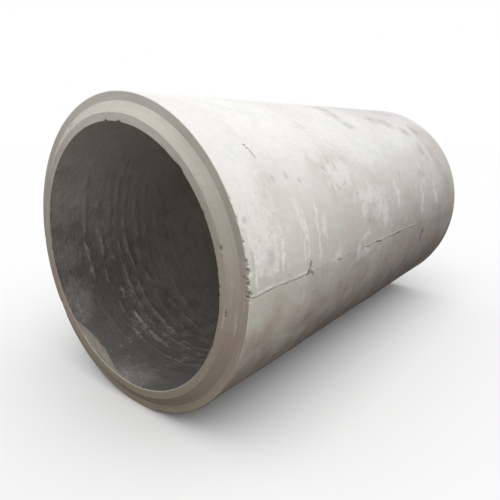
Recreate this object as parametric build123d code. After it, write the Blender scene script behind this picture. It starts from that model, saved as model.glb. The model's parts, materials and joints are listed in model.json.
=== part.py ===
"""Concrete sewer pipe with a bevelled tongue-and-groove joint, lying on its side.

The pipe is one casting: a straight barrel with a short bevelled tongue at one end and the matching groove at the
other, so that a row of the same pipe closes up flush inside and out. Millimetres. X runs along the pipe from the
tongue to the groove, Z is up, and the origin is on the ground under the middle of the pipe.
"""

import os

from build123d import *

# Barrel
bore_diameter = 1200.0
wall = 120.0
laying_length = 2500.0  # from the shoulder behind the tongue to the rim of the groove

# Tongue: a flat end, a bevel, then a flat shoulder out to the barrel
tongue_length = 27.0
tongue_end_width = 36.0
shoulder_width = 38.0

# Groove: the tongue's own outline, set this much deeper so that mortar or mastic fits between them
joint_gap = 4.0

# Rounding on the outward corners. The mould's end rings leave the inward corners sharp, and so is the groove's edge
# at the bore, where the ring closes on the core
outer_arris = 4.0
tongue_arris = 5.0
bore_arris = 3.0

bore_radius = bore_diameter / 2
outer_radius = bore_radius + wall
tongue_end_radius = bore_radius + tongue_end_width
tongue_root_radius = outer_radius - shoulder_width
bevel_spread = (tongue_root_radius - tongue_end_radius) / tongue_length  # radius lost for each unit of length

groove_depth = tongue_length + joint_gap
groove_floor_radius = tongue_end_radius
groove_mouth_radius = groove_floor_radius + groove_depth * bevel_spread

overall_length = tongue_length + laying_length
tongue_end_x = -overall_length / 2
shoulder_x = tongue_end_x + tongue_length
rim_x = shoulder_x + laying_length
groove_floor_x = rim_x - groove_depth


def wall_section():
    """The wall cut along the pipe: corners as (x along the pipe, radius), each with its rounding."""
    corners = [
        ((tongue_end_x, bore_radius), bore_arris),
        ((tongue_end_x, tongue_end_radius), tongue_arris),
        ((shoulder_x, tongue_root_radius), 0),
        ((shoulder_x, outer_radius), outer_arris),
        ((rim_x, outer_radius), outer_arris),
        ((rim_x, groove_mouth_radius), tongue_arris),
        ((groove_floor_x, groove_floor_radius), 0),
        ((groove_floor_x, bore_radius), 0),
    ]
    places = [place for place, rounding in corners]
    roundings = [rounding for place, rounding in corners]
    with BuildSketch(Plane.XZ) as section:
        with BuildLine():
            FilletPolyline(*places, radius=roundings, close=True)
        make_face()
    return section.sketch


def pipe():
    """The wall section turned about the pipe's axis, then raised so that the barrel lies on the ground."""
    turned = revolve(wall_section(), axis=Axis.X)
    return Pos(0, 0, outer_radius) * turned


os.makedirs("parts", exist_ok=True)
export_step(pipe(), "parts/pipe.step")
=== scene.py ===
import json
import math

import bpy
import numpy as np
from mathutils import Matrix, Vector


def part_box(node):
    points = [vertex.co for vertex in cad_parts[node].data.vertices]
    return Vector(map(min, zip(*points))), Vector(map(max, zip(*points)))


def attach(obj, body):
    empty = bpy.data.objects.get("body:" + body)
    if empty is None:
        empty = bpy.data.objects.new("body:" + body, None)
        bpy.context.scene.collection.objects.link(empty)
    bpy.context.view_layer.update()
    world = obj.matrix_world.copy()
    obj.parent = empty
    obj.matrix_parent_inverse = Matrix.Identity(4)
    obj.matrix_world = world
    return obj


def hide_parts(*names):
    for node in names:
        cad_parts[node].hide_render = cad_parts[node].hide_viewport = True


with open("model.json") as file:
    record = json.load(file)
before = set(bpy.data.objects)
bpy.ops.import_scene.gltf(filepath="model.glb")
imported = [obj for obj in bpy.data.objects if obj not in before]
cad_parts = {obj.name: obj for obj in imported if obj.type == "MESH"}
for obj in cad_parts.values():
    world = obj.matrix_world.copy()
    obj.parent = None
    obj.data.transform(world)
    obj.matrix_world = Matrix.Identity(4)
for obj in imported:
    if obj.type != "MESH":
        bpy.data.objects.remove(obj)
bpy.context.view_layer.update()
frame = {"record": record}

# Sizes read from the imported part, in metres. x runs from the tongue to the groove. Angles start at the top
# of the pipe and grow towards -y.
mounts = {mount["name"]: mount for mount in frame["record"]["mounts"]}
boxLow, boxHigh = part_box("pipe")
tipX, rimX = boxLow.x, boxHigh.x
shoulderX = mounts["tongue_shoulder"]["pos_m"][0]
axisZ = (boxLow.z + boxHigh.z) / 2
outerRadius = (boxHigh.z - boxLow.z) / 2
boreRadius = mounts["flow_bore"]["dims"]["r_mm"] / 1000
print("frame loaded: pipe", round(rimX - tipX, 4), "m long,", round(2 * outerRadius, 4), "m across")

# Wall section, walked up the tongue's end, along the barrel, down the groove's end and back along the bore
section = {
    "tongueEndWidth": 0.036,  # flat end of the tongue
    "shoulderWidth": 0.038,  # flat shoulder behind the tongue
    "jointGap": 0.004,  # how much deeper the groove is than the tongue is long
    "outerArris": 0.004,
    "tongueArris": 0.005,
    "boreArris": 0.003,
    "arcSteps": 4,  # pieces in each rounded corner
    "edgeHold": 0.0012,  # first and last step of a run, which keeps a flat face flat up to its corner
    "rulerSteps": 8000,  # fine steps over which the spacings are summed
    "bakeRoom": (1.0, 1.7, 0.85),  # room in the bake map for the outside, the joint faces and the bore
    # each run's stations along it, and the spacing of its points at those stations
    "runSpacings": {
        "tongueEnd": ((0, 0.036), (0.005, 0.007)),
        "bevel": ((0, 0.053), (0.007, 0.009)),
        "shoulder": ((0, 0.038), (0.009, 0.003)),
        "barrel": ((0, 0.03, 0.3, 1.25, 2.2, 2.47, 2.5), (0.003, 0.012, 0.036, 0.042, 0.036, 0.014, 0.004)),
        "rim": ((0, 0.031), (0.004, 0.008)),
        "grooveBevel": ((0, 0.061), (0.009, 0.009)),
        "grooveFloor": ((0, 0.036), (0.009, 0.009)),
        "bore": ((0, 1.0, 2.5), (0.016, 0.0145, 0.0094)),
    },
    # stations round the pipe in degrees from its bottom, closest at the two mould seams, and the spacing of
    # the columns there
    "angleStations": (0, 40, 80, 87, 88.8, 89.6, 92, 120, 176, 179, 188,
                      191, 215, 235, 254, 268, 270.2, 271.4, 273, 285, 320, 360),
    "angleSpacings": (2.5, 2.5, 1.3, 0.6, 0.2, 0.2, 0.7, 2.5, 2.5, 0.8, 0.8,
                      2.5, 2.5, 1, 0.4, 0.35, 0.15, 0.15, 0.5, 1, 2.5, 2.5),
}
outsideFace, jointFace, boreFace = range(3)  # the three finishes, by their place in the material list
runFaces = {name: jointFace for name in section["runSpacings"]} | {"barrel": outsideFace, "bore": boreFace}


def spreadSteps(length, stations, spacings):
    # places from 0 to length, as far apart as the spacings say at their stations, blended between them: one
    # over the spacing, summed along a fine ruler, counts the steps, and the places share that count evenly
    ruler = np.linspace(0, length, section["rulerSteps"] + 1)
    middles = (ruler[1:] + ruler[:-1]) / 2
    counted = np.concatenate(([0], np.cumsum(np.diff(ruler) / np.interp(middles, stations, spacings))))
    return np.interp(np.linspace(0, counted[-1], round(counted[-1]) + 1), counted, ruler)


def walkSection():
    # Eight corners joined by straight runs. A corner is an arc tangent to the runs on both sides of it, or a
    # plain point where it has no rounding. Each point gets its place (x, radius), the direction out of the
    # concrete, its finish, and its distance along the walk. The arcs' middles are kept too.
    tipRadius = boreRadius + section["tongueEndWidth"]
    rootRadius = outerRadius - section["shoulderWidth"]
    tongueLength = shoulderX - tipX
    grooveDepth = tongueLength + section["jointGap"]
    mouthRadius = tipRadius + (rootRadius - tipRadius) * grooveDepth / tongueLength
    floorX = rimX - grooveDepth
    corners = np.array([
        (tipX, boreRadius, section["boreArris"]),
        (tipX, tipRadius, section["tongueArris"]),
        (shoulderX, rootRadius, 0),
        (shoulderX, outerRadius, section["outerArris"]),
        (rimX, outerRadius, section["outerArris"]),
        (rimX, mouthRadius, section["tongueArris"]),
        (floorX, tipRadius, 0),
        (floorX, boreRadius, 0),
    ])
    places, roundings = corners[:, :2], corners[:, 2]
    gaps = np.roll(places, -1, axis=0) - places
    lengths = np.linalg.norm(gaps, axis=1)
    ahead = gaps / lengths[:, None]
    behind = np.roll(ahead, 1, axis=0)
    turns = np.arccos((ahead * behind).sum(1))
    cuts = roundings * np.tan(turns / 2)  # length that each arc takes off its two runs
    points, outward, kinds, arcMiddles = [], [], [], {}
    for k, (name, spacing) in enumerate(section["runSpacings"].items()):
        if roundings[k]:
            bend = np.linspace(0, turns[k], section["arcSteps"] + 1)[:-1, None]
            inward = np.array([behind[k][1], -behind[k][0]])
            start = places[k] - behind[k] * cuts[k]
            arcMiddles[name] = sum(map(len, points)) + section["arcSteps"] // 2
            points.append(start + roundings[k] * (np.sin(bend) * behind[k] + (1 - np.cos(bend)) * inward))
            outward.append(np.sin(bend) * behind[k] - np.cos(bend) * inward)
            kinds.append(np.full(len(bend), outsideFace if name in ("barrel", "rim") else jointFace))
        length = lengths[k] - cuts[k] - cuts[(k + 1) % len(corners)]
        hold = section["edgeHold"]
        steps = np.concatenate(([0, hold], spreadSteps(length, *spacing)[1:-1], [length - hold]))
        points.append(places[k] + ahead[k] * (cuts[k] + steps[:, None]))
        outward.append(np.tile([-ahead[k][1], ahead[k][0]], (len(steps), 1)))
        kinds.append(np.full(len(steps), runFaces[name]))
    points, outward, kinds = map(np.concatenate, (points, outward, kinds))
    closed = np.concatenate((points, points[:1]))
    walked = np.concatenate(([0], np.cumsum(np.linalg.norm(np.diff(closed, axis=0), axis=1))))
    return points, outward, kinds, walked, arcMiddles


# Starting numbers of the random draws
seeds = {"hollows": 3, "seamWander": 5, "boreRoughness": 9, "rings": 21, "nibbles": 31, "raggedness": 41}


def waveField(along, angle, seed, lengths, turns, count=36):
    # a sum of cosine waves, each with a length along the pipe and a whole number of turns round it drawn at
    # random, scaled so that its spread is about 1
    draw = np.random.default_rng(seed)
    field = 0
    for _ in range(count):
        cycles = draw.choice([-1, 1]) * 2 * math.pi / draw.uniform(*lengths)
        turned = draw.integers(0, turns + 1) * angle
        field = field + np.cos(cycles * along + turned + draw.uniform(0, 2 * math.pi))
    return field / math.sqrt(count / 2)


def roundField(angle, seed, turns, count=36):
    # the same waves, varying round the pipe alone
    return waveField(0 * angle, angle, seed, (1, 2), turns, count)


# Relief of the barrel, in metres
barrelRelief = {
    "waviness": 0.0009,  # long hollows that the mould leaves
    "hollowLevel": 1.5,  # how much of the barrel lies in a hollow
    "hollowLengths": (0.35, 1.4),
    "hollowTurns": 6,
    "endFade": 0.05,  # hollows and lip fade out over this at the ends
    "highest": 0.0002,  # nothing on the barrel stands out further
    "seamWander": 0.0017,
    "wanderLengths": (0.06, 0.3),
    "seamDepth": 0.0018,
    "seamHalfWidth": 0.0028,
    "lipHeight": 0.0008,  # on the upper side of the seam
    "lipOffset": 0.0075,
    "lipHalfWidth": 0.0045,
    "stepDepth": 0.0016,  # the lower half lies this much lower, fading out over stepReach
    "stepReach": 0.09,
    "stepRise": 0.004,  # width of the drop itself
    "stepLeast": 0.1,  # the share of it that is left where the seam is closed
    "seamBand": 0.1,  # how far from the seam its marks are measured
    # the near seam along the barrel: stations from the shoulder, degrees from the top, and how open it is
    "seamStations": (0, 0.05, 0.2, 0.33, 0.38, 0.46, 1.02, 1.07, 1.13, 1.17, 1.2, 1.24,
                     1.27, 1.42, 1.45, 1.53, 1.57, 1.66, 1.7, 1.74, 1.81, 1.95, 2.5),
    "seamDegrees": (90.2, 90.7, 90.6, 90.85, 91.1, 90.8, 90.7, 90.35, 91.1, 91.0, 90.7, 90.55,
                    90.85, 90.7, 90.9, 90.8, 91.05, 91.25, 90.7, 90.55, 90.6, 91.3, 90.7),
    "seamShares": (1.0, 0.9, 0.75, 0.85, 0.7, 0.1, 0.15, 1.0, 1.0, 0.4, 0.3, 0.9,
                   1.0, 0.95, 0.5, 0.4, 0.75, 0.7, 0.4, 0.65, 0.6, 0, 0),
    "farSeamShift": 0.75,  # the far seam has the same pattern, turned end for end and moved along
}

# Rings in the bore, in metres
boreRings = {
    "fromTip": [0.19, 0.272, 0.337, 0.4, 0.462, 0.53, 0.602, 0.692, 0.805],
    "spacing": 0.088,  # of the rings further in
    "spacingJitter": 0.022,
    "height": 0.0050,
    "heightJitter": 0.0012,
    "strength": (0.72, 0.4),  # a ring's height comes and goes: its middle and spread
    "strengthLimits": (0.1, 1.3),
    "strengthTurns": 30,
    "wander": 0.006,
    "wanderTurns": 11,
    "mouthSide": 0.008,  # reach of a ring towards the tongue, and towards the groove
    "farSide": 0.017,
    "roughness": 0.0008,
    "roughLengths": (0.04, 0.2),
    "roughTurns": 60,
    "lastFromRim": 0.12,
    "crownFade": 0.88,  # how much lower the rings are at the top of the bore
    "crownDegrees": 52,
    "mouthWear": 0.95,  # and low down near the mouth
    "mouthReach": 0.26,
    "wearDegrees": (105.6, 127.6),  # where the wear begins, and where it is full
}

# Broken edges: for each arris the chips as (degrees, half width, depth along the faces), the nibble along
# the rest of it, and the way into the concrete along x and along the radius
brokenEdges = {
    "barrel": {
        "chips": [
            (61.5, 0.010, 0.006), (67.6, 0.013, 0.006), (74.0, 0.010, 0.006), (79.9, 0.014, 0.0095),
            (82.4, 0.014, 0.0105), (85.5, 0.015, 0.0095), (89.4, 0.014, 0.0125), (-90.4, 0.014, 0.005),
            (104.0, 0.014, 0.006), (-122.0, 0.04, 0.006), (163.0, 0.05, 0.007),
        ],
        "nibble": 0.0022,
        "inward": (1, -1),
    },
    "rim": {
        "chips": [(46, 0.03, 0.006), (89.8, 0.012, 0.009), (121, 0.04, 0.007), (-91, 0.016, 0.010),
                  (-97, 0.014, 0.007), (-126, 0.05, 0.008), (176, 0.06, 0.009)],
        "nibble": 0.0022,
        "inward": (-1, -1),
    },
    "tongueEnd": {
        "chips": [(-2.0, 0.008, 0.012), (6.6, 0.008, 0.010), (44, 0.022, 0.006), (62, 0.010, 0.005),
                  (-94, 0.014, 0.005), (112, 0.022, 0.005)],
        "nibble": 0.0022,
        "inward": (1, 1),
    },
    "bevel": {
        "chips": [(75, 0.008, 0.006), (97, 0.013, 0.006), (-86, 0.012, 0.006), (-118, 0.04, 0.006)],
        "nibble": 0.0016,
        "inward": (1, -1),
    },
}

# What the broken edges share
edgeWear = {
    "nibbleTurns": 260,
    "nibbleWaves": 60,
    "nibbleApart": 0.6,  # degrees between columns, past which the nibble fades out
    "raggedness": 0.3,  # how much the depth varies across a break
    "raggedLengths": (0.012, 0.05),
    "raggedTurns": 320,
    "brokenFrom": 0.0014,  # a cut this deep begins to look broken
    "brokenOver": 0.003,
}


def chipDepth(angle, radius, chips, nibble, seed):
    # how far a broken edge reaches along the faces: a steep-sided bell for each chip, and a fine nibble in
    # between, which fades out where the columns are too far apart for it
    apart = np.degrees(np.gradient(angle[0]))
    held = np.clip(edgeWear["nibbleApart"] / apart, 0, 1) ** 2
    depth = nibble * held * np.abs(roundField(angle, seed, edgeWear["nibbleTurns"], edgeWear["nibbleWaves"]))
    for degrees, halfWidth, deepest in chips:
        offset = (angle - math.radians(degrees) + math.pi) % (2 * math.pi) - math.pi
        depth = np.maximum(depth, deepest / (1 + (offset * radius / halfWidth) ** 4))
    return depth


def ringRelief(fromTip, angle):
    # Rings left round the bore: each is a lopsided bell across its own wavering line, steeper towards the
    # tongue, and its height comes and goes round the bore, low at the crown and worn off low down near the
    # mouth. Returns the height and the share of the full ring height.
    draw = np.random.default_rng(seeds["rings"])
    middle, spread = boreRings["strength"]
    degrees = np.abs(np.degrees(angle))
    crown = boreRings["crownFade"] * np.exp(-(degrees / boreRings["crownDegrees"]) ** 4)
    wornLow = np.interp(degrees, boreRings["wearDegrees"], (0, 1))
    centres = list(boreRings["fromTip"])
    while centres[-1] < rimX - tipX - boreRings["lastFromRim"]:
        jitter = boreRings["spacingJitter"] * draw.uniform(-1, 1)
        centres.append(centres[-1] + boreRings["spacing"] + jitter)
    height = np.zeros(np.broadcast_shapes(fromTip.shape, angle.shape))
    for centre in centres[:-1]:
        wander = boreRings["wander"] * roundField(angle, draw.integers(1000), boreRings["wanderTurns"])
        across = fromTip - centre - wander
        reach = np.where(across < 0, boreRings["mouthSide"], boreRings["farSide"])
        tall = boreRings["height"] + boreRings["heightJitter"] * draw.standard_normal()
        strength = middle + spread * roundField(angle, draw.integers(1000), boreRings["strengthTurns"])
        worn = boreRings["mouthWear"] * np.exp(-(centre / boreRings["mouthReach"]) ** 4) * wornLow
        strength = np.clip(strength, *boreRings["strengthLimits"]) * (1 - crown) * (1 - worn)
        height = np.maximum(height, tall * strength * np.exp(-(across / reach) ** 2))
    return height, np.clip(height / boreRings["height"], 0, 1)


def pipeSurface():
    # The section turned about the pipe's axis: a point of the section at (x, radius) and angle a goes to
    # (x, -radius sin a, axis height + radius cos a), after the relief has moved it out of or into the
    # concrete. The barrel's relief is hollows, the seam's groove, its lip and the step below it. The bore's
    # is rings and roughness. The breaks along the arrises come last.
    points, outward, kinds, walked, arcMiddles = walkSection()
    turned = spreadSteps(360, section["angleStations"], section["angleSpacings"])
    angle = np.radians(turned - 180)[None, :-1]  # the last would be the first again
    x, radius = points[:, :1], points[:, 1:]
    onBarrel, onBore = (kinds == outsideFace)[:, None], (kinds == boreFace)[:, None]

    relief = barrelRelief
    inRun = np.clip(np.minimum(x - shoulderX, rimX - x) / relief["endFade"], 0, 1)
    hollow = waveField(x, angle, seeds["hollows"], relief["hollowLengths"], relief["hollowTurns"])
    hollow = relief["waviness"] * np.clip(relief["hollowLevel"] + hollow, 0, None)
    along = x - shoulderX
    farAlong = (rimX - x + relief["farSeamShift"]) % (rimX - shoulderX)
    seamAlong = np.where(angle > 0, along, farAlong)
    seamShare = np.interp(seamAlong, relief["seamStations"], relief["seamShares"])
    seamAngle = np.radians(np.interp(seamAlong, relief["seamStations"], relief["seamDegrees"]))
    wander = relief["seamWander"] * waveField(x, 0 * angle, seeds["seamWander"], relief["wanderLengths"], 0)
    offset = (np.abs(angle) - seamAngle) * outerRadius + wander
    seam = relief["seamDepth"] * seamShare * np.exp(-(offset / relief["seamHalfWidth"]) ** 2)
    fromLip = (offset + relief["lipOffset"]) / relief["lipHalfWidth"]
    lip = relief["lipHeight"] * seamShare * np.exp(-fromLip ** 2)
    below = np.clip(offset, 0, None)
    stepShare = relief["stepLeast"] + (1 - relief["stepLeast"]) * seamShare
    step = relief["stepDepth"] * stepShare * np.clip(below / relief["stepRise"], 0, 1)
    step = step * np.exp(-below / relief["stepReach"])
    rings, ringShare = ringRelief(x - tipX, angle)
    coarse = waveField(x, angle, seeds["boreRoughness"], boreRings["roughLengths"], boreRings["roughTurns"])
    coarse = boreRings["roughness"] * coarse
    height = onBarrel * ((lip - hollow) * inRun - seam - step) + onBore * (rings + coarse)
    height = np.where(onBarrel, np.minimum(height, relief["highest"]), height)

    moveX, moveRadius = outward[:, :1] * height, outward[:, 1:] * height
    broken = np.zeros(height.shape)
    for k, (name, edge) in enumerate(brokenEdges.items()):
        corner = arcMiddles[name]
        reach = np.abs(walked[:-1] - walked[corner])
        reach = np.minimum(reach, walked[-1] - reach)[:, None]
        depth = chipDepth(angle, radius[corner], edge["chips"], edge["nibble"], seeds["nibbles"] + k)
        ragged = (seeds["raggedness"] + k, edgeWear["raggedLengths"], edgeWear["raggedTurns"])
        depth = depth * (1 + edgeWear["raggedness"] * waveField(walked[:-1, None], angle, *ragged))
        bite = np.clip(depth - reach, 0, None) / math.sqrt(2)  # a flat cut across the corner
        moveX = moveX + bite * edge["inward"][0] / math.sqrt(2)
        moveRadius = moveRadius + bite * edge["inward"][1] / math.sqrt(2)
        shown = np.clip((bite - edgeWear["brokenFrom"]) / edgeWear["brokenOver"], 0, 1)
        broken = np.maximum(broken, shown)

    x, radius = x + moveX, radius + moveRadius
    spots = np.stack([x, -radius * np.sin(angle), axisZ + radius * np.cos(angle)], axis=-1)
    marks = {"ridge": ringShare * onBore, "broken": broken, "seamShare": seamShare * onBarrel}
    fromSeam = np.clip(offset, -relief["seamBand"], relief["seamBand"])
    marks["fromSeam"] = np.broadcast_to(fromSeam, height.shape)
    return spots, kinds, walked, turned / 360, marks


def makePipe():
    # each point joined to the next along its row and its column into a four-sided face, closed both ways
    spots, kinds, walked, around, marks = pipeSurface()
    rows, columns = spots.shape[:2]
    row, column = np.meshgrid(np.arange(rows), np.arange(columns), indexing="ij")
    corners = [(row, column), (row, column + 1), (row + 1, column + 1), (row + 1, column)]
    faces = np.stack([(r % rows) * columns + c % columns for r, c in corners], axis=-1).reshape(-1)
    mesh = bpy.data.meshes.new("pipe_cast")
    mesh.vertices.add(rows * columns)
    mesh.vertices.foreach_set("co", spots.reshape(-1))
    mesh.loops.add(len(faces))
    mesh.loops.foreach_set("vertex_index", faces)
    mesh.polygons.add(rows * columns)
    mesh.polygons.foreach_set("loop_start", np.arange(0, len(faces), 4))
    mesh.polygons.foreach_set("material_index", np.repeat(kinds, columns))
    mesh.polygons.foreach_set("use_smooth", np.ones(rows * columns, bool))
    mesh.update(calc_edges=True)
    # a square map for baking: round the pipe across it, along the walk up it
    room = np.choose(kinds, section["bakeRoom"])
    upward = np.concatenate(([0], np.cumsum(np.diff(walked) * room)))
    upward = upward / upward[-1]
    spread = np.stack([np.stack([around[c], upward[r]], axis=-1) for r, c in corners], axis=2)
    mesh.uv_layers.new(name="OFBake").uv.foreach_set("vector", spread.reshape(-1))
    for name, values in marks.items():
        mesh.attributes.new(name, "FLOAT", "POINT").data.foreach_set("value", values.reshape(-1))
    pipe = bpy.data.objects.new("pipe_cast", mesh)
    bpy.context.scene.collection.objects.link(pipe)
    print("pipe surface:", rows, "by", columns, "points,", 2 * rows * columns, "triangles")
    return pipe


# What the three concrete finishes share
concreteLook = {
    "greenCast": (0.985, 1.005, 0.985),
    "pinkCast": (1.013, 0.991, 0.99),
    "castReach": 0.16,
    "specular": 0.25,
    "holesFrom": 0.55,  # cells below this have no air hole
    "holeRim": 0.06,
}


class Shading:
    # the nodes of a material or a world: each method adds what it names and gives back the output
    def __init__(self, owner):
        self.owner = owner
        owner.use_nodes = True
        self.tree = owner.node_tree
        self.tree.nodes.clear()

    def add(self, kind, inputs, **settings):
        # a node with its settings, and each of its inputs linked or set
        node = self.tree.nodes.new("ShaderNode" + kind)
        for name, value in settings.items():
            setattr(node, name, value)
        for name, value in inputs.items():
            if isinstance(value, bpy.types.NodeSocket):
                self.tree.links.new(value, node.inputs[name])
            else:
                node.inputs[name].default_value = value
        return node

    def math(self, operation, first, second=0.0, third=0.0):
        return self.add("Math", {0: first, 1: second, 2: third}, operation=operation).outputs[0]

    def total(self, *shares):
        # the sum of each value times its weight
        result = 0.0
        for value, weight in shares:
            result = self.math("MULTIPLY_ADD", value, weight, result)
        return result

    def product(self, first, *others):
        for other in others:
            first = self.math("MULTIPLY", first, other)
        return first

    def most(self, first, *others):
        for other in others:
            first = self.math("MAXIMUM", first, other)
        return first

    def smooth(self, value, low, high, start=0.0, end=1.0):
        # start below low, end above high, and an S between them
        inputs = {"Value": value, "From Min": low, "From Max": high, "To Min": start, "To Max": end}
        return self.add("MapRange", inputs, interpolation_type="SMOOTHSTEP").outputs[0]

    def blend(self, share, under, over, mode="MIX"):
        colours = [c if isinstance(c, bpy.types.NodeSocket) else (*c, 1) for c in (under, over)]
        inputs = {0: share, 6: colours[0], 7: colours[1]}
        return self.add("Mix", inputs, data_type="RGBA", blend_type=mode).outputs[2]

    def vector(self, operation, first, second):
        inputs = {0: first, "Scale" if operation == "SCALE" else 1: second}
        return self.add("VectorMath", inputs, operation=operation).outputs[0]

    def noise(self, place, scale, detail=4.0, roughness=0.55):
        # runs from -0.5 to 0.5
        inputs = {"Vector": place, "Scale": scale, "Detail": detail, "Roughness": roughness}
        return self.math("SUBTRACT", self.add("TexNoise", inputs).outputs[0], 0.5)

    def fourNoises(self, look):
        # the noises of a finish, from its widest patches to its grain
        return [self.noise(self.place, *look[name]) for name in ("cloud", "mottle", "blot", "grain")]

    def attribute(self, name):
        return self.add("Attribute", {}, attribute_name=name).outputs["Fac"]

    def findPlaces(self):
        # where a point lies on the pipe: along it from the shoulder, its radius, the direction away from the
        # axis, its angle from the top in degrees, the same without its sign, the arc that angle makes on the
        # barrel, and its place with the pipe unrolled
        self.place = self.add("TexCoord", {}).outputs["Object"]
        fromAxis = self.vector("SUBTRACT", self.place, (shoulderX, 0, axisZ))
        self.along, y, z = self.add("SeparateXYZ", {0: fromAxis}).outputs
        away = self.vector("MULTIPLY", fromAxis, (0, 1, 1))
        self.radius = self.add("VectorMath", {0: away}, operation="LENGTH").outputs["Value"]
        self.away = self.add("VectorMath", {0: away}, operation="NORMALIZE").outputs[0]
        angle = self.math("ARCTAN2", self.math("MULTIPLY", y, -1), z)
        self.degrees = self.math("DEGREES", angle)
        self.steep = self.math("ABSOLUTE", self.degrees)
        self.arc = self.math("MULTIPLY", angle, outerRadius)
        self.unrolled = self.add("CombineXYZ", {0: self.along, 1: self.arc}).outputs[0]

    def roundNoise(self, acrossScale, roundScale, detail=5.0, roughness=0.6):
        # noise drawn out round the pipe: fine along it and across the end faces, slow round it
        across = self.math("MULTIPLY", self.math("ADD", self.along, self.radius), acrossScale)
        across = self.add("CombineXYZ", {0: across}).outputs[0]
        place = self.vector("ADD", across, self.vector("SCALE", self.away, roundScale))
        return self.noise(place, 1, detail, roughness)

    def loosen(self, *pushes):
        # the unrolled place, pushed about by noises of these amounts and scales
        loose = self.unrolled
        for amount, scale in pushes:
            inputs = {"Vector": self.place, "Scale": scale, "Detail": 4.0}
            push = self.vector("SUBTRACT", self.add("TexNoise", inputs).outputs["Color"], (0.5, 0.5, 0.5))
            loose = self.vector("ADD", loose, self.vector("SCALE", push, amount))
        return loose

    def marks(self, place, marks, soft=0.45):
        # 1 inside any of the ellipses (along, degrees, half length, half degrees, turn), fading out over
        # their rims. Plain numbers all through: vectors for so many ellipses don't fit in one material.
        along, arc, _ = self.add("SeparateXYZ", {0: place}).outputs
        result = 0.0
        past = [mark for mark in marks if abs(mark[1]) + 2 * mark[3] > 180]  # these go on beyond the bottom
        past = [(mark[0], mark[1] - math.copysign(360, mark[1]), *mark[2:]) for mark in past]
        for middle, degrees, halfLength, halfDegrees, *turn in marks + past:
            middleArc, halfArc = (math.radians(d) * outerRadius for d in (degrees, halfDegrees))
            c, s = math.cos(math.radians(sum(turn))), math.sin(math.radians(sum(turn)))
            square = 0.0
            for toAlong, toArc, half in ((c, s, halfLength), (-s, c, halfArc)):
                offset = -(toAlong * middle + toArc * middleArc) / half
                offset = self.math("MULTIPLY_ADD", along, toAlong / half, offset)
                offset = self.math("MULTIPLY_ADD", arc, toArc / half, offset)
                square = self.math("MULTIPLY_ADD", offset, offset, square)
            distance = self.math("SQRT", square)
            result = self.most(result, self.smooth(distance, 1 - soft, 1 + soft, 1.0, 0.0))
        return result

    def airHoles(self, scale, reach):
        # round pits at the middles of some of the cells of a Voronoi pattern
        inputs = {"Vector": self.place, "Scale": scale, "Randomness": 1.0}
        cells = self.add("TexVoronoi", inputs, feature="F1").outputs
        pick = self.add("SeparateColor", {"Color": cells["Color"]}).outputs[0]
        size = self.smooth(pick, concreteLook["holesFrom"], 1.0, 0.0, reach)
        return self.smooth(self.math("SUBTRACT", size, cells["Distance"]), 0.0, concreteLook["holeRim"])

    def shade(self, colour, amount):
        # the colour times the amount
        grey = self.add("CombineColor", {0: amount, 1: amount, 2: amount}).outputs[0]
        return self.blend(1.0, colour, grey, "MULTIPLY")

    def cast(self, colour, amount):
        # a faint green cast where the amount is low and a faint pink one where it is high
        share = self.smooth(amount, -concreteLook["castReach"], concreteLook["castReach"])
        tint = self.blend(share, concreteLook["greenCast"], concreteLook["pinkCast"])
        return self.blend(1.0, colour, tint, "MULTIPLY")

    def finish(self, colour, roughness, height, distance):
        # matt stone, with the height as a bump of this depth
        bump = self.add("Bump", {"Height": height, "Distance": distance}).outputs[0]
        inputs = {"Base Color": colour, "Roughness": roughness, "Normal": bump}
        shader = self.add("BsdfPrincipled", inputs | {"Specular IOR Level": concreteLook["specular"]})
        self.add("OutputMaterial", {"Surface": shader.outputs[0]})
        return self.owner


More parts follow.
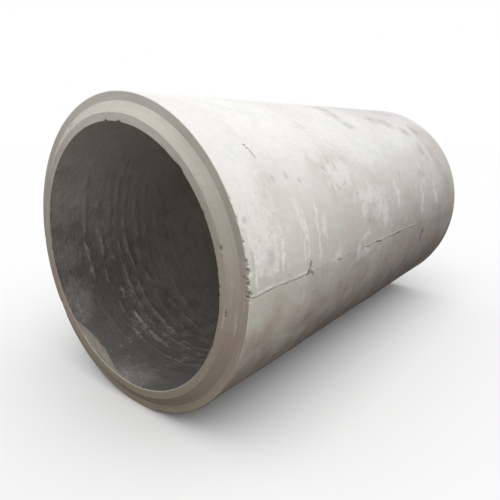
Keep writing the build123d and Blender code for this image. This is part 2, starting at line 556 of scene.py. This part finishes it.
# Outside: light form-faced concrete, bleached on top, streaked round the barrel, darker below partly from
# dirt and partly from painted shade towards the ground, and darker towards the groove from painted light
# falloff.
# A finish's noises are (scale, detail, roughness), and those drawn out round the pipe have two scales, along
# it and round it. What ends in From or End is where a change begins and is over, in degrees from the top or
# in metres from the shoulder.
outsideLook = {
    "bleached": (0.78, 0.767, 0.742),
    "plain": (0.63, 0.613, 0.55),
    "tan": (0.56, 0.535, 0.475),
    # the next two colours are darker partly from dirt and partly from painted shade towards the ground
    "dirt": (0.44, 0.38, 0.33),
    "underside": (0.155, 0.131, 0.113),
    "laitance": (0.79, 0.78, 0.74),
    "smudge": (0.40, 0.39, 0.37),
    "crack": (0.16, 0.148, 0.128),
    # the seam line: dirt in the seam, and painted shadow under its lip
    "seam": (0.20, 0.165, 0.135),
    # dark in the chips: partly the fracture's own colour, partly painted shadow
    "broken": (0.24, 0.22, 0.19),
    "pits": (0.30, 0.285, 0.26),
    "farTint": (0.99, 0.986, 1.03),  # cooler towards the groove
    "cloud": (1.5, 3, 0.55),
    "mottle": (8, 6, 0.62),
    "blot": (34, 5, 0.62),
    "grain": (150, 3, 0.6),
    "streak": (24, 1.1, 5),
    "drip": (75, 2.6, 5),
    "dashes": (19, 0.4, 4),
    "holes": (44, 0.13),  # air holes: scale and reach
    "farFrom": (0.2, 2.3),
    "plainFrom": (40, 86),
    "tanFrom": (40, 70),
    "tanShares": (0.15, 0.85),
    "dirtFrom": (86, 118),
    "undersideFrom": (104, 137),
    "runsEnd": (94, 114),
    "runsLeft": 0.06,  # below their end
    # how strong each kind of mark is
    "runs": 0.8,
    "looseRuns": 0.42,
    "smears": 0.58,
    "looseSmears": 0.34,
    "speckShare": 0.45,
    "farStreaks": 0.36,
    "farStreaksFrom": (1.6, 2.3),
    "haze": 0.24,  # over the far top
    "hazeEnd": (20, 36),
    "hazeFrom": (1.1, 1.7),
    "seamShare": 0.65,
    "seamLine": (0.0006, 0.0036),  # from the seam's middle
    "lipShare": 0.5,
    "lipOffset": 0.010,
    "lipBand": (0.002, 0.011),
    "scarShare": 0.7,
    "brokenShare": 0.75,
    "pitShare": 0.35,
    # painted light and shade multiplied into the colour: the whole, towards the groove, in the band below
    # the seam, and on the near side
    "light": 1.03,
    "farLight": -0.12,
    "belowLight": -0.06,
    "belowStart": (-0.012, 0.02),  # from the seam's middle
    "belowStop": (0.03, 0.1),
    "nearLight": (0.15, -0.095),
    "nearFrom": (0.1, 0.82),
    "nearDegrees": (62, 86),
    "roughness": (0.8, 0.95),
    "bumpDepth": 0.003,
    # pale runs of laitance: along from the shoulder, degrees, half length, half degrees, turn
    "paleMarks": [
        # (0.006, 58) and (0.012, 65.5) run along the shoulder's arris: a painted highlight on the edge,
        # partly laitance
        (0.09, 64, 0.13, 20), (0.09, 82, 0.09, 7), (0.006, 58, 0.010, 20), (0.21, 78, 0.014, 8),
        (0.348, 73, 0.020, 9), (0.342, 82, 0.014, 5), (0.382, 77, 0.016, 9), (0.502, 74, 0.014, 8),
        (0.494, 83, 0.012, 6), (0.556, 77.5, 0.018, 5), (0.94, 75, 0.05, 5), (1.1, 76, 0.08, 6),
        (1.19, 80, 0.06, 6), (1.05, 70, 0.2, 4), (0.93, 86.2, 0.06, 1.8), (0.88, 88.5, 0.024, 2.6),
        (0.63, 88.4, 0.06, 2.5), (1.39, 74, 0.03, 7), (0.012, 65.5, 0.012, 5),
        (1.78, 80, 0.03, 8), (1.86, 66, 0.03, 8), (2.04, 78, 0.04, 9), (0.9, 92.6, 0.14, 2),
        (0.7, 40, 0.5, 14), (1.75, 45, 0.3, 10), (1.2, 51, 0.24, 9), (0.8, 59, 0.17, 6),
    ],
    # grey smears
    "greyMarks": [
        (1.29, 18, 0.09, 6, 12), (1.265, 26, 0.08, 6), (1.27, 34, 0.06, 5, -10), (1.78, 29, 0.2, 6, 8),
        (2.0, 40, 0.08, 6, 16), (2.06, 54, 0.09, 6), (1.85, 65.5, 0.06, 4), (2.25, 60, 0.09, 14),
        (2.24, 37, 0.09, 6), (0.12, 81.5, 0.035, 3.4), (1.0, 80, 0.04, 3), (2.35, 76, 0.1, 10),
        (2.15, 18, 0.2, 9), (0.88, 96.8, 0.09, 1.2, 4), (2.42, 95, 0.1, 12),
    ],
    # small grey specks
    "specks": [
        (0.277, 57.7, 0.013, 1.5, -15), (0.374, 57.4, 0.015, 1.4, -15), (0.447, 59.5, 0.013, 1.1, 20),
        (0.683, 56.9, 0.02, 1.3, 30), (0.033, 69, 0.014, 1.0, 20), (0.035, 79.5, 0.012, 2.5),
        (0.15, 74.8, 0.008, 0.9), (0.366, 77.7, 0.008, 1.2), (0.908, 68.4, 0.012, 0.8),
        (0.944, 72, 0.012, 0.9), (1.435, 86.1, 0.024, 1.1), (1.497, 65.5, 0.009, 3.8), (2.04, 54, 0.05, 3),
        (1.85, 65, 0.035, 2.5), (2.106, 80.6, 0.012, 2), (1.588, 96.4, 0.02, 1), (0.758, 90.6, 0.02, 1),
    ],
    # thin dark scars
    "scars": [
        (0.2265, 44.8, 0.008, 0.55), (0.2305, 46.1, 0.008, 0.5), (0.2395, 47.9, 0.005, 2.3, -14),
        (0.4065, 87.8, 0.012, 1.6, 12), (0.3905, 90.1, 0.011, 1.5, 44), (0.418, 90.9, 0.007, 2.2, -51),
        (1.808, 98.4, 0.017, 3.8, 2), (1.824, 96.2, 0.022, 1.6, 10), (0.662, 90.8, 0.034, 0.28, 10),
        (0.964, 90.8, 0.042, 0.28, 7), (1.1, 90.75, 0.045, 0.42, 9), (1.34, 90.8, 0.07, 0.34),
        (1.61, 91.15, 0.05, 0.34),
    ],
}


def outsideConcrete():
    look = outsideLook
    s = Shading(bpy.data.materials.new("outside_concrete"))
    s.findPlaces()
    cloud, mottle, blot, grain = s.fourNoises(look)
    streak = s.roundNoise(*look["streak"])
    drip = s.roundNoise(*look["drip"])
    far = s.smooth(s.along, *look["farFrom"])

    # slow change from the bleached top to the darker underside, dark partly from dirt and partly from
    # painted shade towards the ground, sooner at the far end
    low = s.total((s.steep, 1), (mottle, 46), (streak, 12), (cloud, 24), (far, 17))
    colour = s.blend(s.smooth(low, *look["plainFrom"]), look["bleached"], look["plain"])
    warm = s.product(s.smooth(cloud, -0.04, 0.14), s.smooth(low, *look["tanFrom"], *look["tanShares"]))
    colour = s.blend(warm, colour, look["tan"])
    colour = s.blend(s.smooth(low, *look["dirtFrom"]), colour, look["dirt"])
    under = s.total((s.steep, 1), (mottle, 40), (cloud, 24), (far, 8))
    colour = s.blend(s.smooth(under, *look["undersideFrom"]), colour, look["underside"])

    # laitance: the runs that show, and looser ones all round
    loose = s.loosen((0.14, 6), (0.045, 22))
    anyRuns = s.total((streak, 1), (drip, 0.6), (cloud, 0.7), (blot, 0.6))
    anyRuns = s.smooth(anyRuns, 0.1, 0.34, 0, look["looseRuns"])
    placed = s.marks(loose, look["paleMarks"], 0.75)
    placed = s.total((placed, 0.6), (blot, 1.0), (drip, 1.0), (mottle, 0.6))
    pale = s.most(anyRuns, s.smooth(placed, 0.2, 0.68, 0, look["runs"]))
    pale = s.product(pale, s.smooth(low, *look["runsEnd"], 1, look["runsLeft"]))
    colour = s.blend(pale, colour, look["laitance"])

    # grey smears and specks, placed and loose, and a haze over the far top
    placed = s.marks(loose, look["greyMarks"], 0.8)
    placed = s.total((placed, 0.66), (blot, 1.1), (drip, 0.7), (mottle, 1.0))
    specks = s.marks(s.loosen((0.05, 32)), look["specks"], 0.7)
    specks = s.smooth(s.total((specks, 1), (blot, 1.4)), 0.3, 1.0, 0, look["speckShare"])
    anyGrey = s.total((mottle, 1), (cloud, 0.6), (blot, 0.9), (far, 0.08))
    anyGrey = s.smooth(anyGrey, 0.12, 0.38, 0, look["looseSmears"])
    farStreaks = s.smooth(s.total((drip, 0.6), (streak, 1), (blot, 0.9)), 0.02, 0.3)
    farStreaks = s.product(farStreaks, s.smooth(s.along, *look["farStreaksFrom"], 0, look["farStreaks"]))
    haze = s.smooth(s.total((s.steep, 1), (mottle, 24)), *look["hazeEnd"], look["haze"], 0)
    haze = s.product(haze, s.smooth(s.total((s.along, 1), (mottle, 0.6)), *look["hazeFrom"]))
    grey = s.most(s.smooth(placed, 0.2, 0.84, 0, look["smears"]), specks, anyGrey, farStreaks, haze)
    colour = s.blend(grey, colour, look["smudge"])

    # the mould seam, a thin broken line, dark partly from dirt and partly as painted shadow, with a painted
    # highlight on the lip above it and a painted shade band below it
    fromSeam = s.total((s.attribute("fromSeam"), 1), (s.noise(s.place, 40, 3), 0.008))
    belowSeamShade = s.smooth(fromSeam, *look["belowStart"])
    belowSeamShade = s.product(belowSeamShade, s.smooth(fromSeam, *look["belowStop"], 1, 0))
    line = s.smooth(s.math("ABSOLUTE", fromSeam), *look["seamLine"], 1, 0)
    share = s.attribute("seamShare")
    dashes = s.roundNoise(*look["dashes"])
    seam = s.product(line, s.smooth(s.total((share, 0.8), (dashes, 1.6), (blot, 1.2)), 0.3, 0.85))
    fromLip = s.math("ABSOLUTE", s.math("ADD", fromSeam, look["lipOffset"]))
    lipDashes = s.smooth(s.total((share, 0.3), (dashes, 0.8), (blot, 1.2)), 0.05, 0.45, 0, look["lipShare"])
    lipHighlight = s.product(s.smooth(fromLip, *look["lipBand"], 1, 0), lipDashes)
    colour = s.blend(lipHighlight, colour, look["laitance"])
    colour = s.blend(s.math("MULTIPLY", seam, look["seamShare"]), colour, look["seam"])

    # scars and broken edges
    scar = s.marks(s.loosen((0.014, 45)), look["scars"], 0.7)
    scar = s.smooth(s.total((scar, 1), (blot, 1.0)), 0.25, 1.0, 0, look["scarShare"])
    colour = s.blend(scar, colour, look["crack"])
    # the chips are darkened: the fracture's own colour, and painted shadow in them
    broken = s.smooth(s.total((s.attribute("broken"), 1), (blot, 0.8)), 0.15, 0.65)
    colour = s.blend(s.math("MULTIPLY", broken, look["brokenShare"]), colour, look["broken"])

    # pits, darkened as painted shade in the air holes, and grain; then painted light and shade: paler on the
    # near side, darker in the band below the seam and darker towards the groove
    holes = s.airHoles(*look["holes"])
    colour = s.blend(s.math("MULTIPLY", holes, look["pitShare"]), colour, look["pits"])
    paintedNearLight = s.smooth(s.total((s.along, 1), (mottle, 0.5)), *look["nearFrom"], *look["nearLight"])
    paintedNearLight = s.product(paintedNearLight, s.smooth(s.steep, *look["nearDegrees"]))
    light = s.total((far, look["farLight"]), (paintedNearLight, 1), (belowSeamShade, look["belowLight"]))
    light = s.math("ADD", light, look["light"])
    colour = s.shade(colour, s.total((grain, 0.16), (mottle, 0.24), (blot, 0.2), (light, 1)))
    colour = s.cast(colour, s.total((mottle, 1), (cloud, 0.6)))
    colour = s.blend(far, colour, look["farTint"], "MULTIPLY")
    roughness = s.smooth(s.total((mottle, 1), (grain, 1)), -0.3, 0.3, *look["roughness"])
    height = s.total((grain, 0.25), (mottle, 0.5), (blot, 0.4), (holes, -0.8))
    return s.finish(colour, roughness, height, look["bumpDepth"])


# Joint faces: the smooth faces of the end rings, paler on top, brown below partly from splashed dirt and
# partly from painted shade towards the ground
jointLook = {
    "top": (0.64, 0.607, 0.547),
    "side": (0.43, 0.393, 0.34),
    "low": (0.35, 0.288, 0.235),
    "bottom": (0.30, 0.25, 0.195),
    "pale": (0.60, 0.58, 0.53),
    "smudge": (0.27, 0.245, 0.21),
    # dark in the chips: partly the fracture's own colour, partly painted shadow
    "broken": (0.17, 0.155, 0.13),
    "pits": (0.22, 0.20, 0.175),
    "cloud": (2.6, 4, 0.55),
    "mottle": (14, 6, 0.62),
    "blot": (45, 5, 0.62),
    "grain": (170, 3, 0.6),
    "brushed": (70, 3.2, 5),
    "holes": (50, 0.13),
    "sideFrom": (15, 72),
    "lowFrom": (72, 115),
    "bottomFrom": (118, 160),
    "paleEnd": (80, 140),
    "paleLeft": 0.25,
    # how strong each kind of mark is
    "paleShare": 0.5,
    "smears": 0.5,
    "scratchShare": 0.6,
    "brokenShare": 0.8,
    "pitShare": 0.5,
    "wornShare": 0.45,  # the bore's pale edge, low down: partly wear, partly a painted highlight on the rounded edge
    "wornReach": (0.001, 0.006),
    "wornFrom": (110, 150),
    "roughness": (0.78, 0.94),
    "bumpDepth": 0.0025,
    # scratches across the end: radius, degrees, half length, half degrees, turn
    "scratches": [(0.629, 73.6, 0.004, 1.7, -36), (0.70, 84, 0.01, 0.5), (0.66, -28, 0.016, 0.4, 30),
                  (0.63, 131, 0.016, 0.4, -30)],
    "scratchEnd": (0.1, 0.2),  # they are on the tongue alone
}


def jointConcrete():
    look = jointLook
    s = Shading(bpy.data.materials.new("joint_concrete"))
    s.findPlaces()
    cloud, mottle, blot, grain = s.fourNoises(look)
    brushed = s.roundNoise(*look["brushed"])

    # browner from the top to the bottom, partly dirt and partly painted shade towards the ground, with pale
    # and grey smears drawn round the faces
    low = s.total((s.steep, 1), (mottle, 40), (cloud, 30))
    colour = s.blend(s.smooth(low, *look["sideFrom"]), look["top"], look["side"])
    colour = s.blend(s.smooth(low, *look["lowFrom"]), colour, look["low"])
    colour = s.blend(s.smooth(low, *look["bottomFrom"]), colour, look["bottom"])
    pale = s.smooth(s.total((brushed, 1), (cloud, 0.7), (blot, 0.3)), 0.06, 0.24, 0, look["paleShare"])
    pale = s.product(pale, s.smooth(low, *look["paleEnd"], 1, look["paleLeft"]))
    colour = s.blend(pale, colour, look["pale"])
    smears = s.total((mottle, 1), (brushed, 0.7), (blot, 0.5))
    colour = s.blend(s.smooth(smears, 0.14, 0.32, 0, look["smears"]), colour, look["smudge"])

    # scratches, broken edges, and the bore's pale edge, partly wear and partly a painted highlight
    unrolled = s.add("CombineXYZ", {0: s.radius, 1: s.arc}).outputs[0]
    scratch = s.total((s.marks(unrolled, look["scratches"], 0.6), 1), (blot, 1.2))
    scratch = s.smooth(scratch, 0.3, 0.9, 0, look["scratchShare"])
    scratch = s.product(scratch, s.smooth(s.along, *look["scratchEnd"], 1, 0))
    colour = s.blend(scratch, colour, look["smudge"])
    # the chips are darkened: the fracture's own colour, and painted shadow in them
    broken = s.smooth(s.total((s.attribute("broken"), 1), (blot, 0.8)), 0.25, 0.75)
    colour = s.blend(s.math("MULTIPLY", broken, look["brokenShare"]), colour, look["broken"])
    reach = [boreRadius + r for r in look["wornReach"]]
    worn = s.smooth(s.total((s.radius, 1), (blot, 0.012)), *reach, look["wornShare"], 0)
    colour = s.blend(s.product(worn, s.smooth(low, *look["wornFrom"])), colour, look["pale"])

    # pits, darkened as painted shade in the air holes, and grain
    holes = s.airHoles(*look["holes"])
    colour = s.blend(s.math("MULTIPLY", holes, look["pitShare"]), colour, look["pits"])
    colour = s.shade(colour, s.total((grain, 0.16), (mottle, 0.24), (brushed, 0.3), (1.0, 1)))
    colour = s.cast(colour, s.total((mottle, 1), (cloud, 1)))
    roughness = s.smooth(mottle, -0.2, 0.2, *look["roughness"])
    height = s.total((grain, 0.3), (mottle, 0.5), (brushed, 0.3), (holes, -0.8), (broken, -0.5), (blot, 0.3))
    return s.finish(colour, roughness, height, look["bumpDepth"])


# Bore: dark concrete, olive above and cool below, with rings that the lime picks out. The upper colour is
# painted lighter for light bounced up from the ground, and the deep colour is painted light from the far
# end.
boreLook = {
    "upper": (0.82, 0.775, 0.70),
    "brown": (0.61, 0.545, 0.485),
    "lower": (0.122, 0.118, 0.113),
    "deep": (0.64, 0.596, 0.525),
    "rusty": (0.58, 0.47, 0.42),
    "dust": (0.30, 0.278, 0.266),
    "ringTop": (0.46, 0.43, 0.38),
    "lime": (0.38, 0.375, 0.355),
    "lip": (0.34, 0.31, 0.265),
    "pits": (0.10, 0.09, 0.08),
    "cloud": (2.2, 4, 0.55),
    "mottle": (15, 6, 0.65),
    "blot": (48, 5, 0.65),
    "grain": (160, 3, 0.6),
    "fine": (85, 9, 5, 0.65),
    "holes": (40, 0.15),
    "lowerFrom": (32, 114),
    "deepFrom": (0.2, 1.1),
    "deepShare": 0.75,
    "deepEnd": (90, 150),
    "deepLeft": 0.45,
    "ringLowerFrom": (80, 140),
    "ringLowerShare": 0.55,
    "specksFrom": (60, 120),
    "specksShares": (0.2, 0.6),
    # how strong each kind of mark is
    "rustyShare": 0.7,
    "dustShare": 0.45,
    "ringShare": 0.7,
    "limeShare": 0.6,
    "lipShare": 0.85,
    "pitShare": 0.6,
    "roughness": (0.75, 0.95),
    "bumpDepth": 0.007,
    # a brown stain, dust near the mouth, and where lime lies thickest
    "rustyMarks": [(0.03, -58.5, 0.10, 9.5)],
    "dustMarks": [(0.04, -122, 0.08, 13), (0.03, -177, 0.09, 15), (0.05, -98, 0.09, 9)],
    "limeMarks": [
        (0.30, -150, 0.12, 14), (0.33, -128, 0.05, 9), (0.08, -97, 0.09, 8), (0.035, -126, 0.025, 5),
        (0.11, -155, 0.03, 3), (0.178, -153.6, 0.03, 4), (0.03, -176, 0.055, 8), (0.41, -160, 0.10, 10),
        (0.33, -103, 0.03, 9), (0.30, 176, 0.12, 6), (0.02, -66, 0.05, 6), (0.6, 150, 0.2, 20),
        (1.4, -155, 0.4, 22), (1.9, 160, 0.3, 20), (2.2, -140, 0.2, 20),
    ],
    # clean paste smeared in from the mouth's edge: its width, the share of that where it is thin, and the
    # degrees at which it is thin, becomes wide, stops being wide and is gone
    "lipWidth": 0.056,
    "lipThin": 0.25,
    "lipDegrees": (-172, -152, -147, -126),
}


def boreConcrete():
    look = boreLook
    s = Shading(bpy.data.materials.new("bore_concrete"))
    s.findPlaces()
    cloud, mottle, blot, grain = s.fourNoises(look)
    fine = s.roundNoise(*look["fine"])
    ridge = s.attribute("ridge")

    # olive and brown above, dark and cool below, paler again deep inside, where the deep colour is painted
    # light from the far end; the upper colour is painted lighter for light bounced up from the ground
    low = s.total((s.steep, 1), (mottle, 40), (cloud, 30))
    colour = s.blend(s.smooth(cloud, -0.05, 0.15), look["upper"], look["brown"])
    colour = s.blend(s.smooth(low, *look["lowerFrom"]), colour, look["lower"])
    deepLight = s.smooth(s.total((s.along, 1), (mottle, 0.8)), *look["deepFrom"], 0, look["deepShare"])
    deepLight = s.product(deepLight, s.smooth(low, *look["deepEnd"], 1, look["deepLeft"]))
    colour = s.blend(deepLight, colour, look["deep"])

    # stain and dust near the mouth
    loose = s.loosen((0.04, 18))
    stain = s.total((s.marks(loose, look["rustyMarks"], 0.8), 0.7), (mottle, 0.9), (blot, 0.6))
    colour = s.blend(s.smooth(stain, 0.15, 0.75, 0, look["rustyShare"]), colour, look["rusty"])
    dusty = s.total((s.marks(loose, look["dustMarks"], 0.9), 0.8), (mottle, 0.8), (blot, 0.6))
    colour = s.blend(s.smooth(dusty, 0.2, 0.8, 0, look["dustShare"]), colour, look["dust"])

    # rings, and the lime on them
    onRing = s.smooth(s.total((ridge, 0.8), (fine, 1.2), (blot, 0.7)), 0.3, 0.85, 0, look["ringShare"])
    ringLower = s.smooth(low, *look["ringLowerFrom"], 0, look["ringLowerShare"])
    colour = s.blend(onRing, colour, s.blend(ringLower, look["ringTop"], look["lower"]))
    placed = s.marks(loose, look["limeMarks"], 0.6)
    lime = s.total((placed, 0.4), (ridge, 0.20), (fine, 0.9), (blot, 0.9), (mottle, 0.5))
    lime = s.smooth(lime, 0.37, 0.72, 0, look["limeShare"])
    specks = s.smooth(s.total((blot, 1), (mottle, 0.8), (cloud, 0.4)), 0.2, 0.34)
    specks = s.product(specks, s.smooth(low, *look["specksFrom"], *look["specksShares"]))
    colour = s.blend(s.most(lime, specks), colour, look["lime"])

    # paste at the mouth's edge
    thin, wideFrom, wideTo, end = look["lipDegrees"]
    wide = s.smooth(s.degrees, wideTo, end, 1, 0)
    wide = s.product(wide, s.smooth(s.degrees, thin, wideFrom, look["lipThin"], 1))
    fromMouth = s.total((s.along, 1), (shoulderX - tipX, 1), (mottle, 0.02), (blot, 0.02))
    lip = s.math("SUBTRACT", s.math("MULTIPLY", wide, look["lipWidth"]), fromMouth)
    colour = s.blend(s.smooth(lip, -0.004, 0.008, 0, look["lipShare"]), colour, look["lip"])

    # pits, darkened as painted shade in the air holes, and grain
    holes = s.airHoles(*look["holes"])
    colour = s.blend(s.math("MULTIPLY", holes, look["pitShare"]), colour, look["pits"])
    colour = s.shade(colour, s.total((grain, 0.25), (mottle, 0.5), (blot, 0.35), (1.0, 1)))
    roughness = s.smooth(mottle, -0.2, 0.2, *look["roughness"])
    height = s.total((grain, 0.2), (mottle, 0.7), (fine, 0.8), (blot, 0.8), (holes, -0.8))
    return s.finish(colour, roughness, height, look["bumpDepth"])


pipe = makePipe()
for finish in (outsideConcrete(), jointConcrete(), boreConcrete()):
    pipe.data.materials.append(finish)
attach(pipe, "root")
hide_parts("pipe")
print("concrete finishes on:", [m.name for m in pipe.data.materials])

# Stage: a pale floor that holds the shadow, soft light from above, and the camera
stage = {
    "floorSize": 60.0,
    "floorSeen": (0.84, 0.84, 0.84),
    "floorBounce": (0.12, 0.115, 0.105),
    "skySeen": 1.0,  # white behind the pipe
    "skyStrength": 0.62,  # the light that falls on it
    "sunStrength": 1.98,
    "sunSpread": 75.0,  # degrees
    "sunTilt": (22.0, -14.0, 0.0),
    "cameraPlace": (-2.3577, -1.6317, 1.2853),
    "cameraYaw": 39.06,  # degrees from +x towards +y
    "cameraPitch": -15.1734,
    "lens": 31.896,  # on a sensor 36 mm wide
}


def seenShare(s):
    # 1 for what the camera sees straight, mirrored or through glass, 0 for the light that falls on the pipe
    rays = s.add("LightPath", {}).outputs
    return s.most(*(rays[name] for name in ("Is Camera Ray", "Is Glossy Ray", "Is Transmission Ray")))


def makeFloor():
    half = stage["floorSize"] / 2
    mesh = bpy.data.meshes.new("floor")
    corners = [(-half, -half, 0), (half, -half, 0), (half, half, 0), (-half, half, 0)]
    mesh.from_pydata(corners, [], [(0, 1, 2, 3)])
    floor = bpy.data.objects.new("floor", mesh)
    bpy.context.scene.collection.objects.link(floor)
    s = Shading(bpy.data.materials.new("floor_pale"))
    colour = s.blend(seenShare(s), stage["floorBounce"], stage["floorSeen"])
    shader = s.add("BsdfDiffuse", {"Color": colour})
    s.add("OutputMaterial", {"Surface": shader.outputs[0]})
    mesh.materials.append(s.owner)


def makeLight():
    world = bpy.data.worlds.new("sky")
    bpy.context.scene.world = world
    s = Shading(world)
    strength = s.smooth(seenShare(s), 0, 1, stage["skyStrength"], stage["skySeen"])
    background = s.add("Background", {"Color": (1, 1, 1, 1), "Strength": strength})
    s.add("OutputWorld", {"Surface": background.outputs[0]})
    sun = bpy.data.lights.new("overcast", "SUN")
    sun.energy = stage["sunStrength"]
    sun.angle = math.radians(stage["sunSpread"])
    lamp = bpy.data.objects.new("overcast", sun)
    lamp.rotation_euler = [math.radians(a) for a in stage["sunTilt"]]
    bpy.context.scene.collection.objects.link(lamp)


def makeCamera():
    camera = bpy.data.objects.new("camera", bpy.data.cameras.new("camera"))
    camera.data.lens = stage["lens"]
    camera.location = stage["cameraPlace"]
    pitch, yaw = math.radians(90 + stage["cameraPitch"]), math.radians(stage["cameraYaw"] - 90)
    camera.rotation_euler = (pitch, 0, yaw)
    bpy.context.scene.collection.objects.link(camera)
    bpy.context.scene.camera = camera


makeFloor()
makeLight()
makeCamera()
bpy.context.scene.view_settings.view_transform = "Standard"
print("stage set: floor, light and camera")
